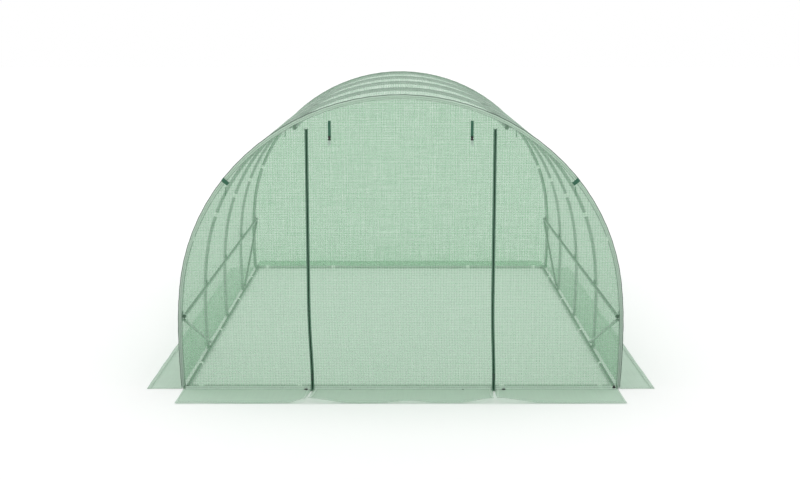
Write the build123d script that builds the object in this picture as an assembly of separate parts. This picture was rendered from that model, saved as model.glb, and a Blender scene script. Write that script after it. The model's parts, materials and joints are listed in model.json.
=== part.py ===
from build123d import *
import os
from math import acos, cos, degrees, radians, sin, sqrt

# A walk-in garden polytunnel. Five hoops of steel tube stand on a base frame, purlins and
# diagonal braces hold them apart, and one woven cover with a front wall, a back wall and
# ground skirts is drawn over them. The origin is on the ground at the centre of the
# footprint, +Z is up and the zipped door faces -Y. All sizes are in millimetres.

# Cover outline: an arch of four radii, with angles measured from upright.
tunnel_length = 4000.0
tunnel_height = 2000.0
crown_radius = 1530.0
crown_angle = 44.5
haunch_radius = 1425.0
haunch_angle = 82.7
leg_radius = 2750.0
leg_angle = 90.0
foot_radius = 7000.0

# Cover, modelled thicker than the cloth.
cover_thickness = 3.0
cover_gap = 0.3
side_skirt_width = 235.0
end_skirt_depth = 315.0
end_skirt_trim = 12.0
skirt_split = 10.0

# Frame tubes.
tube_diameter = 25.0
tube_wall = 1.0
brace_diameter = 20.0
seat_gap = 0.3
hoop_count = 5
leg_joint_height = 1045.0
shoulder_angle = 30.0
side_purlin_height = 510.0
shoulder_purlin_angle = 27.9
brace_clearance = 14.0
brace_foot_height = 50.0
brace_overhang = 14.0
brace_top_reach = 5.0

# Joint sleeves. Tube ends meet inside them.
sleeve_wall = 1.3
sleeve_length = 32.0
sleeve_gap = 0.2
tube_end_gap = 1.0
side_rail_joint = 530.0
side_corner_stub = 539.0
end_rail_joint = 690.0
end_corner_stub = 82.0

# End caps, and the saddle clips that hold the purlins to the hoops.
cap_thickness = 3.0
cap_plug_length = 15.0
cap_plug_gap = 0.1
clip_width = 18.0
clip_thickness = 2.0
clip_gap = 0.2
clip_foot_gap = 0.6
clip_foot_length = 18.0

# Door, zips, ties and straps.
zip_offset = 620.0
zip_width = 20.0
zip_below_arch = 92.0
zip_proud = 1.5
tie_offset = 468.0
tie_below_arch = 97.0
tie_length = 101.0
tie_width = 19.0
webbing_thickness = 2.0
webbing_gap = 0.3
buckle_width = 22.0
buckle_height = 27.0
buckle_depth = 9.0
strap_angle = 50.9
strap_width = 26.0
strap_length = 53.0
strap_return = 60.0

# Worked out from the sizes above.
tube_radius = tube_diameter / 2
tube_bore = tube_diameter - 2 * tube_wall
brace_bore = brace_diameter - 2 * tube_wall
sleeve_bore = tube_diameter + 2 * sleeve_gap
sleeve_diameter = sleeve_bore + 2 * sleeve_wall
sleeve_radius = sleeve_diameter / 2
frame_inset = cover_thickness + cover_gap + sleeve_radius
purlin_inset = frame_inset + tube_diameter + seat_gap
brace_seat = tube_radius + brace_diameter / 2 + seat_gap
wall_front = -tunnel_length / 2
wall_inside = tunnel_length / 2 - cover_thickness
end_hoop_place = tunnel_length / 2 - frame_inset
hoop_spacing = 2 * end_hoop_place / (hoop_count - 1)
hoop_places = [-end_hoop_place + number * hoop_spacing for number in range(hoop_count)]
rail_height = sleeve_radius
capped_end = wall_inside - cover_gap


def arch_arcs():
    """Arcs of the arch's right half, from the crown down: centre x, centre z, radius, last angle."""
    arcs = [(0.0, tunnel_height - crown_radius, crown_radius, crown_angle)]
    below = ((haunch_radius, haunch_angle), (leg_radius, leg_angle), (foot_radius, 180.0))
    for radius, last_angle in below:
        centre_x, centre_z, former_radius, turn = arcs[-1]
        step = former_radius - radius
        centre = (centre_x + step * sin(radians(turn)), centre_z + step * cos(radians(turn)))
        arcs.append((*centre, radius, last_angle))
    return arcs


def arch_stretches(first, last):
    """The same arcs cut to the stretch between two angles: centre x, centre z, radius, low, high."""
    start = 0.0
    for centre_x, centre_z, radius, last_angle in arch_arcs():
        low, high = max(first, start), min(last, last_angle)
        if high > low:
            yield centre_x, centre_z, radius, low, high
        start = last_angle


def arch_arc(angle, inset):
    """Centre x, centre z and radius of the arch, moved in by inset, at an angle from upright."""
    for centre_x, centre_z, radius, last_angle in arch_arcs():
        if angle <= last_angle:
            break
    return centre_x, centre_z, radius - inset


def arch_point(angle, inset):
    """X and Z of the arch, moved in by inset, where its normal leans by an angle from upright."""
    centre_x, centre_z, reach = arch_arc(angle, inset)
    return centre_x + reach * sin(radians(angle)), centre_z + reach * cos(radians(angle))


def arch_turn(length, angle, inset):
    """Angle that a short length spans along the arch, moved in by inset, near an angle."""
    return degrees(length / arch_arc(angle, inset)[2])


def arch_height(x):
    """Height of the arch's outside at a distance from the middle."""
    for centre_x, centre_z, radius, last_angle in arch_arcs():
        if x <= arch_point(last_angle, 0.0)[0]:
            break
    return centre_z + sqrt(radius**2 - (x - centre_x) ** 2)


def arch_angle(height, inset):
    """Angle at which the arch, moved in by inset, passes a height."""
    for centre_x, centre_z, radius, last_angle in arch_arcs():
        if height >= arch_point(last_angle, inset)[1] or last_angle == 180.0:
            break
    return degrees(acos((height - centre_z) / (radius - inset)))


def arch_plane(angle, inset, y):
    """Plane across the hoop at an angle: X along the hoop, Y towards the inside, Z along +Y."""
    x, z = arch_point(angle, inset)
    lean = radians(angle)
    return Plane(origin=(x, y, z), x_dir=(cos(lean), 0, -sin(lean)), z_dir=(0, 1, 0))


def arch_region(inset, bottom):
    """Flat region under the arch and above a level, drawn in X and Z."""
    foot_angle = arch_angle(bottom, inset)
    right = [
        CenterArc((centre_x, centre_z), radius - inset, 90 - low, low - high)
        for centre_x, centre_z, radius, low, high in arch_stretches(0.0, foot_angle)
    ]
    left = [mirror(edge, about=Plane.YZ) for edge in right]
    foot_x = arch_point(foot_angle, inset)[0]
    return make_face(right + left + [Line((-foot_x, bottom), (foot_x, bottom))])


def block(low, high):
    """Box between two corners."""
    centre = [(a + b) / 2 for a, b in zip(low, high)]
    return Pos(*centre) * Box(*[b - a for a, b in zip(low, high)])


def panel(region, y_front, depth):
    """Sheet drawn in X and Z, thickened from its front face towards +Y."""
    return Pos(0, y_front, 0) * extrude(Plane.XZ * region, amount=-depth)


def rectangle(x_low, x_high, z_low, z_high):
    return Pos((x_low + x_high) / 2, (z_low + z_high) / 2) * Rectangle(x_high - x_low, z_high - z_low)


def arc_tube(centre_x, centre_z, reach, low, high, y, outside=tube_diameter, bore=tube_bore):
    """Tube round an arc in X and Z, between two angles from upright."""
    lean = radians(low)
    start = (centre_x + reach * sin(lean), y, centre_z + reach * cos(lean))
    section = Plane(origin=start, z_dir=(cos(lean), 0, -sin(lean)))
    ring = section * (Circle(outside / 2) - Circle(bore / 2))
    return revolve(ring, Axis((centre_x, y, centre_z), (0, 1, 0)), high - low)


def hoop_tube(first, last, y, outside=tube_diameter, bore=tube_bore):
    """Tube along the right half of the hoop between two angles."""
    pieces = [
        arc_tube(centre_x, centre_z, radius - frame_inset, low, high, y, outside, bore)
        for centre_x, centre_z, radius, low, high in arch_stretches(first, last)
    ]
    return pieces[0] if len(pieces) == 1 else pieces[0].fuse(*pieces[1:])


def straight_tube(start, end, outside=tube_diameter, bore=tube_bore):
    """Tube between two points."""
    line = Line(start, end)
    section = Plane(origin=start, z_dir=line % 0)
    ring = Circle(outside / 2) - Circle(bore / 2) if bore else Circle(outside / 2)
    return extrude(section * ring, line.length)


def both_sides(*shapes):
    """Right-hand pieces and their mirror images on the left."""
    return [copy for shape in shapes for copy in (shape, mirror(shape, about=Plane.YZ))]


def both_ends(*shapes):
    """Pieces at the front and their mirror images at the back."""
    return [copy for shape in shapes for copy in (shape, mirror(shape, about=Plane.XZ))]


def save(node, *shapes):
    """Write one node, with as many separate solids as its shapes hold."""
    solids = [solid for shape in shapes for solid in shape.solids()]
    export_step(solids[0] if len(solids) == 1 else Compound(children=solids), f"parts/{node}.step")


def capped_tube(x, z):
    """Tube that runs the whole length inside the end walls, and its two end caps."""
    tube_end = capped_end - cap_thickness
    tube = straight_tube((x, -tube_end, z), (x, tube_end, z))
    head = straight_tube((x, -capped_end, z), (x, -tube_end, z), bore=0)
    plug_end = cap_plug_length - tube_end
    plug = straight_tube((x, -tube_end, z), (x, plug_end, z), tube_bore - 2 * cap_plug_gap, 0)
    return tube, both_ends(head + plug)


def jointed_rail(start, end, joints):
    """Tubes in line between two points, with a gap at each joint along the way."""
    line = Line(start, end)
    stops = [0.0] + [joint + side * tube_end_gap / 2 for joint in joints for side in (-1, 1)]
    stops.append(line.length)
    return [
        straight_tube(line @ (low / line.length), line @ (high / line.length))
        for low, high in zip(stops[::2], stops[1::2])
    ]


def sleeves_on(start, end, joints):
    """A sleeve over each joint of such a row of tubes."""
    line = Line(start, end)
    return [
        straight_tube(
            line @ ((joint - sleeve_length / 2) / line.length),
            line @ ((joint + sleeve_length / 2) / line.length),
            sleeve_diameter,
            sleeve_bore,
        )
        for joint in joints
    ]


def rail_joints(length, from_middle, from_end):
    """Places of a rail's four joints from its start: a pair round the middle and one near each end."""
    return (from_end, length / 2 - from_middle, length / 2 + from_middle, length - from_end)


os.makedirs("parts", exist_ok=True)

# Hoops: a crown, two haunches and two legs each. A leg's foot is cut level and stands on the
# ground, outside the side rail.
leg_joint_angle = arch_angle(leg_joint_height, frame_inset)
half_gap_angle = arch_turn(tube_end_gap / 2, leg_joint_angle, frame_inset)
half_sleeve_angle = arch_turn(sleeve_length / 2, leg_joint_angle, frame_inset)
ground_angle = arch_angle(0.0, frame_inset)
below_ground_angle = arch_angle(-tube_radius, frame_inset)
below_feet = block((0, wall_front, -tunnel_height), (tunnel_height, -wall_front, 0))
crown_centre_z = tunnel_height - crown_radius
crown_reach = crown_radius - frame_inset
hoop_sleeves = []
for number, place in enumerate(hoop_places, start=1):
    leg = hoop_tube(leg_joint_angle + half_gap_angle, below_ground_angle, place) - below_feet
    haunch = hoop_tube(shoulder_angle, leg_joint_angle - half_gap_angle, place)
    crown = arc_tube(0.0, crown_centre_z, crown_reach, -shoulder_angle, shoulder_angle, place)
    save(f"hoop_{number}_legs", *both_sides(leg))
    save(f"hoop_{number}_haunches", *both_sides(haunch))
    save(f"hoop_{number}_crown", crown)
    sleeve_angles = (leg_joint_angle - half_sleeve_angle, leg_joint_angle + half_sleeve_angle)
    hoop_sleeves += both_sides(hoop_tube(*sleeve_angles, place, sleeve_diameter, sleeve_bore))
save("hoop_sleeves", *hoop_sleeves)

# Base rails: the side rails run along the legs' inner side, and the end rails fit between them.
rail_x = arch_point(ground_angle, frame_inset)[0] - tube_diameter - seat_gap
side_rail_end = capped_end - cap_thickness
side_rail_line = ((rail_x, -side_rail_end, rail_height), (rail_x, side_rail_end, rail_height))
side_joints = rail_joints(2 * side_rail_end, side_rail_joint, side_corner_stub)
side_rail = jointed_rail(*side_rail_line, side_joints)
end_rail_reach = rail_x - tube_radius - seat_gap
end_rail_line = (
    (-end_rail_reach, -end_hoop_place, rail_height),
    (end_rail_reach, -end_hoop_place, rail_height),
)
end_joints = rail_joints(2 * end_rail_reach, end_rail_joint, end_corner_stub)
end_rail = jointed_rail(*end_rail_line, end_joints)
save("base_rail_right", *side_rail)
save("base_rail_left", *[mirror(tube, about=Plane.YZ) for tube in side_rail])
save("base_rail_front", *end_rail)
save("base_rail_back", *[mirror(tube, about=Plane.XZ) for tube in end_rail])
save(
    "rail_sleeves",
    *both_sides(*sleeves_on(*side_rail_line, side_joints)),
    *both_ends(*sleeves_on(*end_rail_line, end_joints)),
)

# Purlins, inside the hoops on both sides, and the end caps of every tube that runs lengthways.
side_purlin_angle = arch_angle(side_purlin_height, purlin_inset)
side_purlin, side_caps = capped_tube(*arch_point(side_purlin_angle, purlin_inset))
shoulder_purlin, shoulder_caps = capped_tube(*arch_point(shoulder_purlin_angle, purlin_inset))
rail_caps = capped_tube(rail_x, rail_height)[1]
for name, purlin in (("side_purlin", side_purlin), ("shoulder_purlin", shoulder_purlin)):
    right, left = both_sides(purlin)
    save(f"{name}_right", right)
    save(f"{name}_left", left)
save("end_caps", *both_sides(*side_caps, *shoulder_caps, *rail_caps))

# Saddle clips: bent straps round each purlin, with a foot above and below it on the hoop.
clip_bore = tube_radius + clip_gap
clip_outside = clip_bore + clip_thickness
foot_top = clip_foot_gap - tube_radius - seat_gap
foot_end = clip_outside + clip_foot_length
clip_arms = rectangle(-clip_outside, clip_outside, foot_top, 0)
clip_feet = rectangle(-foot_end, foot_end, foot_top, foot_top + clip_thickness)
clip_inside = Circle(clip_bore) + rectangle(-clip_bore, clip_bore, foot_top, 0)
clip_section = Circle(clip_outside) + clip_arms
clip_section -= rectangle(-foot_end, foot_end, -2 * clip_outside, foot_top)
clip_section = clip_section + clip_feet - clip_inside
clips = []
for angle in (side_purlin_angle, shoulder_purlin_angle):
    for place in hoop_places:
        section = arch_plane(angle, purlin_inset, place - clip_width / 2) * clip_section
        clips += both_sides(extrude(section, clip_width, dir=(0, 1, 0)))
save("purlin_clips", *clips)

# Braces in the end bays, from the clip's lower foot on the end hoop to the foot of the next hoop.
brace_top_inset = purlin_inset + foot_top + clip_thickness + seat_gap + brace_diameter / 2
brace_top_drop = arch_turn(clip_outside + brace_clearance, side_purlin_angle, purlin_inset)
brace_top = Vector(arch_point(side_purlin_angle + brace_top_drop, brace_top_inset))
brace_foot_angle = arch_angle(brace_foot_height, frame_inset + brace_seat)
brace_foot = Vector(arch_point(brace_foot_angle, frame_inset + brace_seat))
brace_start = Vector(brace_top.X, hoop_places[0], brace_top.Y)
brace_end = Vector(brace_foot.X, hoop_places[1], brace_foot.Y)
brace_way = (brace_end - brace_start).normalized()
brace_start -= brace_way * brace_top_reach
brace_end += brace_way * brace_overhang
brace = straight_tube(brace_start, brace_end, brace_diameter, brace_bore)
save("braces", *both_ends(*both_sides(brace)))

# Cover over the hoops, between the end walls. The walls and the arch stand on the skirts.
outline = arch_region(0.0, cover_thickness)
save("cover_arch", panel(outline - arch_region(cover_thickness, 0.0), -wall_inside, 2 * wall_inside))
save("back_wall", panel(outline, wall_inside, cover_thickness))

# Front wall: a header, a side panel each side, two zips, and the door panel between them.
zip_height = arch_height(zip_offset) - zip_below_arch
zip_inner = zip_offset - zip_width / 2
zip_outer = zip_offset + zip_width / 2
beyond = 2 * tunnel_height
header = outline & rectangle(-beyond, beyond, zip_height, beyond)
side_panel = outline & rectangle(zip_outer, beyond, 0, zip_height)
door = rectangle(-zip_inner, zip_inner, cover_thickness, zip_height)
save("front_header", panel(header, wall_front, cover_thickness))
right, left = both_sides(panel(side_panel, wall_front, cover_thickness))
save("front_panel_right", right)
save("front_panel_left", left)
save("door_panel", panel(door, wall_front, cover_thickness))
zip_strip = rectangle(zip_inner, zip_outer, cover_thickness, zip_height)
right, left = both_sides(panel(zip_strip, wall_front - zip_proud, cover_thickness + zip_proud))
save("zip_right", right)
save("zip_left", left)

# Skirts, flat on the ground.
foot_angle = arch_angle(cover_thickness, 0.0)
foot_outside = arch_point(foot_angle, 0.0)[0]
foot_inside = arch_point(arch_angle(cover_thickness, cover_thickness), cover_thickness)[0]
skirt_edge = foot_outside + side_skirt_width
side_skirt = block((foot_inside, wall_front, 0), (skirt_edge, -wall_front, cover_thickness))
end_skirt_side = foot_inside - end_skirt_trim
skirt_front = wall_front - end_skirt_depth


def end_skirt(x_low, x_high):
    return block((x_low, skirt_front, 0), (x_high, -wall_inside, cover_thickness))


right, left = both_sides(side_skirt)
save("side_skirt_right", right)
save("side_skirt_left", left)
right, left = both_sides(end_skirt(zip_offset + skirt_split / 2, end_skirt_side))
save("front_skirt_right", right)
save("front_skirt_left", left)
door_skirt_side = zip_offset - skirt_split / 2
save("door_skirt", end_skirt(-door_skirt_side, door_skirt_side))
save("back_skirt", mirror(end_skirt(-end_skirt_side, end_skirt_side), about=Plane.XZ))

# Ties that hold the rolled door, sewn to the header, each ending in a buckle.
webbing_back = wall_front - webbing_gap
webbing_front = webbing_back - webbing_thickness
tie_top = arch_height(tie_offset) - tie_below_arch
tie_bottom = tie_top - tie_length
tie = block(
    (tie_offset - tie_width / 2, webbing_front, tie_bottom),
    (tie_offset + tie_width / 2, webbing_back, tie_top),
)
buckle = block(
    (tie_offset - buckle_width / 2, webbing_back - buckle_depth, tie_bottom - buckle_height),
    (tie_offset + buckle_width / 2, webbing_back, tie_bottom),
)
save("door_ties", *both_sides(tie))
save("tie_buckles", *both_sides(buckle))

# Straps folded over the cover's front edge on the haunches.
strap_base = arch_plane(strap_angle, 0.0, 0.0)
strap_top = -webbing_gap - webbing_thickness
strap_side = strap_width / 2
strap_face = block((-strap_side, strap_top, webbing_front), (strap_side, strap_length, webbing_back))
strap_end = wall_front + strap_return
strap_fold = block((-strap_side, strap_top, webbing_front), (strap_side, -webbing_gap, strap_end))
save("hoop_straps", *both_sides(strap_base * (strap_face + strap_fold)))
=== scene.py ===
import json
from itertools import product
from math import acos, cos, pi, radians, sin, tau

import bpy
import numpy as np
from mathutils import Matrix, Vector, noise
from mathutils.geometry import delaunay_2d_cdt


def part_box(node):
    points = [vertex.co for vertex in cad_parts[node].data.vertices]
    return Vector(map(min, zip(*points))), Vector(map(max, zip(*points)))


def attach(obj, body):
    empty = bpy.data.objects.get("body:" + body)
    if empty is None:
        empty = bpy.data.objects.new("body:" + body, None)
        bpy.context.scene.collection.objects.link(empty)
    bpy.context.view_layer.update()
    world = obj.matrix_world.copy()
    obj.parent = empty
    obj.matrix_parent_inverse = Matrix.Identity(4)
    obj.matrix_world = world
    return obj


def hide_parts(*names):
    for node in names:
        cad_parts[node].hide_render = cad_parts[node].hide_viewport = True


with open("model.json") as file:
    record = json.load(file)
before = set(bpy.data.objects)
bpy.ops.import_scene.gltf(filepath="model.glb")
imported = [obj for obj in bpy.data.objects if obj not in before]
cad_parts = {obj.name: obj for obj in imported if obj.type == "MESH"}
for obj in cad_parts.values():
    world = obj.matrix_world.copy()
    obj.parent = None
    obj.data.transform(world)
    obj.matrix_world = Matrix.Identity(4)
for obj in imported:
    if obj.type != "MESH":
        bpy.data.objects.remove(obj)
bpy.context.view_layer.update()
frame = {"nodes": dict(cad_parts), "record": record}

# Hoops, base rails, purlins and braces: round steel tube, hot-dip galvanised to a dull
# silver grey. Zinc sets in a faint spangle, and handling leaves it uneven in sheen.


def add(tree, kind, *values, **settings):
    """A new node with its settings, and its first inputs set to values or linked to sockets."""
    made = tree.nodes.new(kind)
    for name, value in settings.items():
        setattr(made, name, value)
    for socket, value in zip(made.inputs, values):
        if isinstance(value, bpy.types.NodeSocket):
            tree.links.new(value, socket)
        elif value is not None:
            socket.default_value = value
    return made


def wire(node, **sources):
    """Links sockets to a node's inputs by name."""
    for name, source in sources.items():
        node.id_data.links.new(source, node.inputs[name.replace("_", " ")])


def maths(operation, *values):
    """The result of a sum, in the tree of the first socket among its values."""
    tree = next(value.id_data for value in values if isinstance(value, bpy.types.NodeSocket))
    return add(tree, "ShaderNodeMath", *values, operation=operation).outputs[0]


def between(value, *ranges):
    """A value taken from one range to another, smoothly and held at the ends."""
    ranged = add(value.id_data, "ShaderNodeMapRange", value, *ranges, interpolation_type="SMOOTHSTEP")
    return ranged.outputs[0]


def cloud(place, scale, detail=3.0, roughness=0.55):
    """Soft noise from 0 to 1, with scale in patches a metre."""
    return add(place.id_data, "ShaderNodeTexNoise", place, None, scale, detail, roughness).outputs[0]


def blend(share, first, second):
    """Colour between two colours."""
    values = (share, *(None,) * 5, first, second)
    return add(share.id_data, "ShaderNodeMix", *values, data_type="RGBA").outputs[2]


def bump(height, depth):
    """Normal of a surface raised by up to depth metres."""
    raised = add(height.id_data, "ShaderNodeBump")
    raised.inputs["Distance"].default_value = depth
    wire(raised, Height=height)
    return raised.outputs["Normal"]


def finish_of(name, **sockets):
    """A new material: its node tree, its main shader with some sockets set, and itself."""
    made = bpy.data.materials.new(name)
    made.use_nodes = True
    shader = made.node_tree.nodes["Principled BSDF"]
    for socket, value in sockets.items():
        shader.inputs[socket.replace("_", " ")].default_value = value
    return made.node_tree, shader, made


def coordinates(tree, kind="Object"):
    return add(tree, "ShaderNodeTexCoord").outputs[kind]


def height_of(vector):
    return add(vector.id_data, "ShaderNodeSeparateXYZ", vector).outputs[2]


def node_group(kind, name, inputs, outputs, output_kind="Float"):
    """A new node group, the sockets it is given, and its end node. An input is the default of a
    number, or else the kind of its socket."""
    group = bpy.data.node_groups.new(name, f"{kind}NodeTree")
    for label, value in inputs.items():
        input_kind = value if isinstance(value, str) else "Float"
        socket = group.interface.new_socket(label, in_out="INPUT", socket_type=f"NodeSocket{input_kind}")
        if input_kind == "Float":
            socket.default_value = value
    for label in outputs:
        group.interface.new_socket(label, in_out="OUTPUT", socket_type=f"NodeSocket{output_kind}")
    return group, group.nodes.new("NodeGroupInput").outputs, group.nodes.new("NodeGroupOutput")


def zinc_group():
    """Tone, sheen and grain of a zinc coat, from Object coordinates."""
    inputs = {"Place": "Vector", "Spangle": 95.0, "Grain": 420.0}
    group, given, ends = node_group("Shader", "zinc_coat", inputs, ("Tone", "Sheen", "Height"))
    cells = add(group, "ShaderNodeTexVoronoi", given["Place"], None, given["Spangle"]).outputs["Color"]
    crystal = add(group, "ShaderNodeSeparateColor", cells).outputs[0]
    handled = cloud(given["Place"], 6.0)
    streaked = cloud(given["Place"], 38.0)
    tone = maths("MULTIPLY_ADD", crystal, 0.22, maths("MULTIPLY", handled, 0.8))
    tone = maths("MULTIPLY_ADD", streaked, 0.25, tone)
    grain = add(group, "ShaderNodeTexNoise", given["Place"], None, given["Grain"]).outputs[0]
    wire(ends, Tone=between(tone, 0.3, 0.9, 0.0, 1.0), Sheen=handled, Height=grain)
    return group


zinc_coat = zinc_group()


def zinc_finish(name, dark, light, sheen, depth=0.00015, scales=(), **sockets):
    """A zinc coat of two shades: its tree, main shader, colour and material. sheen is its lowest
    and highest roughness, and scales are its spangle and grain in patches a metre."""
    tree, shader, made = finish_of(name, **sockets)
    zinc = add(tree, "ShaderNodeGroup", coordinates(tree), *scales, node_tree=zinc_coat).outputs
    colour = blend(zinc["Tone"], dark, light)
    roughness = between(zinc["Sheen"], 0.3, 0.7, *sheen)
    wire(shader, Base_Color=colour, Roughness=roughness, Normal=bump(zinc["Height"], depth))
    return tree, shader, colour, made


def wear(material_slot):
    """The CAD nodes of one of the record's slots."""
    parts = frame["record"]["subparts"]
    return [p["node"] for p in parts if p["material_slot"] == material_slot]


def cover_with(material, nodes):
    for name in nodes:
        mesh = frame["nodes"][name].data
        mesh.materials.clear()
        mesh.materials.append(material)


zinc_shades = ((0.46, 0.475, 0.47, 1), (0.62, 0.635, 0.63, 1))
tree, shader, colour, zinc_tube = zinc_finish(
    "galvanised_tube", *zinc_shades, (0.34, 0.5), Metallic=0.5, IOR=1.6
)
# Painted shade: the upper sides of the tubes are darkened towards a dark grey, for the shade where the
# cover lies on them.
facing_up = height_of(add(tree, "ShaderNodeNewGeometry").outputs["Normal"])
painted_shade_on_top = between(facing_up, 0.2, 0.85, 0.0, 0.75)
wire(shader, Base_Color=blend(painted_shade_on_top, colour, (0.17, 0.185, 0.175, 1)))
cover_with(zinc_tube, wear("steel_tube"))
# Painted light: the front and back rails take a paler, less metallic copy of the zinc, for the light that
# falls on their fronts.
rail_painted_light_shades = ((0.60, 0.62, 0.605, 1), (0.74, 0.755, 0.745, 1))
painted_light_rail_zinc = zinc_finish("rail_painted_light", *rail_painted_light_shades, (0.45, 0.6), Metallic=0.15, IOR=1.6)[-1]
cover_with(painted_light_rail_zinc, ("base_rail_front", "base_rail_back"))

# Joint sleeves: white plastic rings over the butted tube ends, injection moulded with a
# fine grain, and a little dust where hands and soil have been.
# Painted light: a faint emission in the sleeves' own colour makes them glow.
tree, shader, white_ring = finish_of("white_plastic", IOR=1.46, Emission_Strength=0.16)
place = coordinates(tree)
dusty = between(cloud(place, 9.0), 0.45, 0.75, 0.0, 0.4)
white_and_painted_glow = blend(dusty, (0.93, 0.94, 0.92, 1), (0.80, 0.82, 0.78, 1))
wire(
    shader,
    Base_Color=white_and_painted_glow,
    Emission_Color=white_and_painted_glow,
    Roughness=between(cloud(place, 30.0), 0.3, 0.7, 0.38, 0.5),
    Normal=bump(cloud(place, 900.0), 0.0001),
)
cover_with(white_ring, wear("white_plastic"))

# End caps: black plastic plugs pushed into the tube ends, with a moulded grain and paler,
# rubbed patches. Those high on the shoulders and those low on the frame below the side purlins
# are a paler grey, and those right by the ground a dark grey, lightened from black: painted light.
tree, shader, black_plug = finish_of("black_plastic", IOR=1.46)
place = coordinates(tree)
height = height_of(place)
rubbed = between(cloud(place, 45.0), 0.5, 0.8, 0.0, 1.0)
fresh = blend(rubbed, (0.065, 0.072, 0.068, 1), (0.11, 0.12, 0.114, 1))
paler_grey = blend(rubbed, (0.27, 0.29, 0.28, 1), (0.36, 0.38, 0.37, 1))
# Painted light: caps right by the ground are lightened from black to a dark grey.
painted_light_grey = blend(rubbed, (0.10, 0.11, 0.105, 1), (0.16, 0.17, 0.165, 1))
painted_light_then_paler = blend(between(height, 0.04, 0.12, 0.0, 1.0), painted_light_grey, paler_grey)
lower = blend(between(height, 0.478, 0.492, 0.0, 1.0), painted_light_then_paler, fresh)
wire(
    shader,
    Base_Color=blend(between(height, 1.2, 1.6, 0.0, 1.0), lower, paler_grey),
    Roughness=between(rubbed, 0.0, 1.0, 0.42, 0.6),
    Normal=bump(cloud(place, 700.0), 0.00012),
)
cover_with(black_plug, wear("black_plastic"))

# Saddle clips: strips of zinc-plated steel bent over the purlins. The plating is brighter
# and smoother than on the tubes, and slightly blue.
plated_shades = ((0.52, 0.55, 0.57, 1), (0.68, 0.70, 0.70, 1))
plated = zinc_finish(
    "zinc_plating", *plated_shades, (0.26, 0.4), 0.00008, (260.0, 500.0), Metallic=0.85
)[-1]
cover_with(plated, wear("zinc_steel"))

# Screws: self-drilling screws with hexagon heads and pressed washers. Two hold each clip to
# its hoop, or one where a brace takes the other's place, and one goes through each end of a
# brace. They follow the arch of the hoops.
tunnel_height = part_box("cover_arch")[1].z
arch_radii = (1.530, 1.425, 2.750, 7.000)
arch_turns = (radians(44.5), radians(82.7), pi / 2)
arch_arcs = [(0.0, tunnel_height - arch_radii[0], arch_radii[0], 0.0, 0.0)]
for radius, turn in zip(arch_radii[1:], arch_turns):
    centre_x, centre_z, former, first_turn, first_run = arch_arcs[-1]
    shift = former - radius
    centre = (centre_x + shift * sin(turn), centre_z + shift * cos(turn))
    arch_arcs.append((*centre, radius, turn, first_run + former * (turn - first_turn)))


def over_arch(run, inset):
    """X, Z and lean of the arch, at distances from the crown along its outline, moved in by inset."""
    side, run = np.where(np.asarray(run) < 0, -1.0, 1.0), np.abs(run)
    x = z = lean = np.zeros(np.shape(run))
    for centre_x, centre_z, radius, first_turn, first_run in arch_arcs:
        here = run >= first_run
        turned = first_turn + (run - first_run) / radius
        lean = np.where(here, turned, lean)
        x = np.where(here, centre_x + (radius - inset) * np.sin(turned), x)
        z = np.where(here, centre_z + (radius - inset) * np.cos(turned), z)
    return side * x, z, side * lean


def run_to(height, inset):
    """Distance along the outline at which the arch, moved in by inset, comes down to a height."""
    for centre_x, centre_z, radius, first_turn, first_run in reversed(arch_arcs):
        run = first_run + radius * (acos((height - centre_z) / (radius - inset)) - first_turn)
        if run >= first_run:
            return run


def growing_group(name, **inputs):
    """A new geometry tree with named numbers and a finish, and its two end nodes."""
    inputs = {"Geometry": "Geometry", **inputs, "Finish": "Material"}
    return node_group("Geometry", name, inputs, ("Geometry",), "Geometry")


def stand(shape, points, given, ends, along=None, size=None):
    """Ends a geometry tree: copies of a shape stood on points by their outward directions,
    and turned along a line if one is given, made real, shaded smooth and finished."""
    group = ends.id_data
    outward = add(group, "GeometryNodeInputNamedAttribute", "outward", data_type="FLOAT_VECTOR")
    upright = add(group, "FunctionNodeAlignRotationToVector", axis="Z")
    wire(upright, Vector=outward.outputs["Attribute"])
    copies = add(group, "GeometryNodeInstanceOnPoints", points)
    wire(copies, Instance=shape, Rotation=upright.outputs["Rotation"])
    if along is not None:
        first = add(group, "FunctionNodeAlignRotationToVector", axis="X")
        wire(first, Vector=along)
        upright.pivot_axis = "X"
        wire(upright, Rotation=first.outputs["Rotation"])
        wire(copies, Scale=size)
    real = add(group, "GeometryNodeRealizeInstances", copies.outputs[0])
    soft = add(group, "GeometryNodeSetShadeSmooth", real.outputs[0])
    done = add(group, "GeometryNodeSetMaterial", soft.outputs[0])
    wire(done, Material=given["Finish"])
    wire(ends, Geometry=done.outputs[0])


def screw_group():
    """Hexagon heads on washers at points."""
    sizes = {"Head": 0.008, "Height": 0.0042, "Washer": 0.0125, "Thickness": 0.0012}
    group, given, ends = growing_group("screws_at_points", **sizes)
    joined = add(group, "GeometryNodeJoinGeometry")
    for sides, size, depth, level in ((6, "Head", "Height", 0.5), (20, "Washer", "Thickness", 0.0)):
        barrel = add(group, "GeometryNodeMeshCylinder", sides)
        wire(barrel, Radius=maths("MULTIPLY", given[size], 0.5), Depth=given[depth])
        up = add(group, "ShaderNodeCombineXYZ", 0.0, 0.0, maths("MULTIPLY", given[depth], level))
        moved = add(group, "GeometryNodeTransform", barrel.outputs[0])
        wire(moved, Translation=up.outputs[0])
        wire(joined, Geometry=moved.outputs[0])
    stand(joined.outputs[0], given["Geometry"], given, ends)
    return group


def placed(name, data):
    """A new object in the scene."""
    made = bpy.data.objects.new(name, data)
    bpy.context.collection.objects.link(made)
    return made


def line_object(name, places, outwards, edges=()):
    """An object of bare points, with an outward direction at each, and any edges between them."""
    mesh = bpy.data.meshes.new(name)
    mesh.from_pydata([tuple(p) for p in places], list(edges), [])
    stored = mesh.attributes.new("outward", "FLOAT_VECTOR", "POINT")
    stored.data.foreach_set("vector", np.array(outwards, float).ravel())
    return placed(name, mesh)


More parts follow.
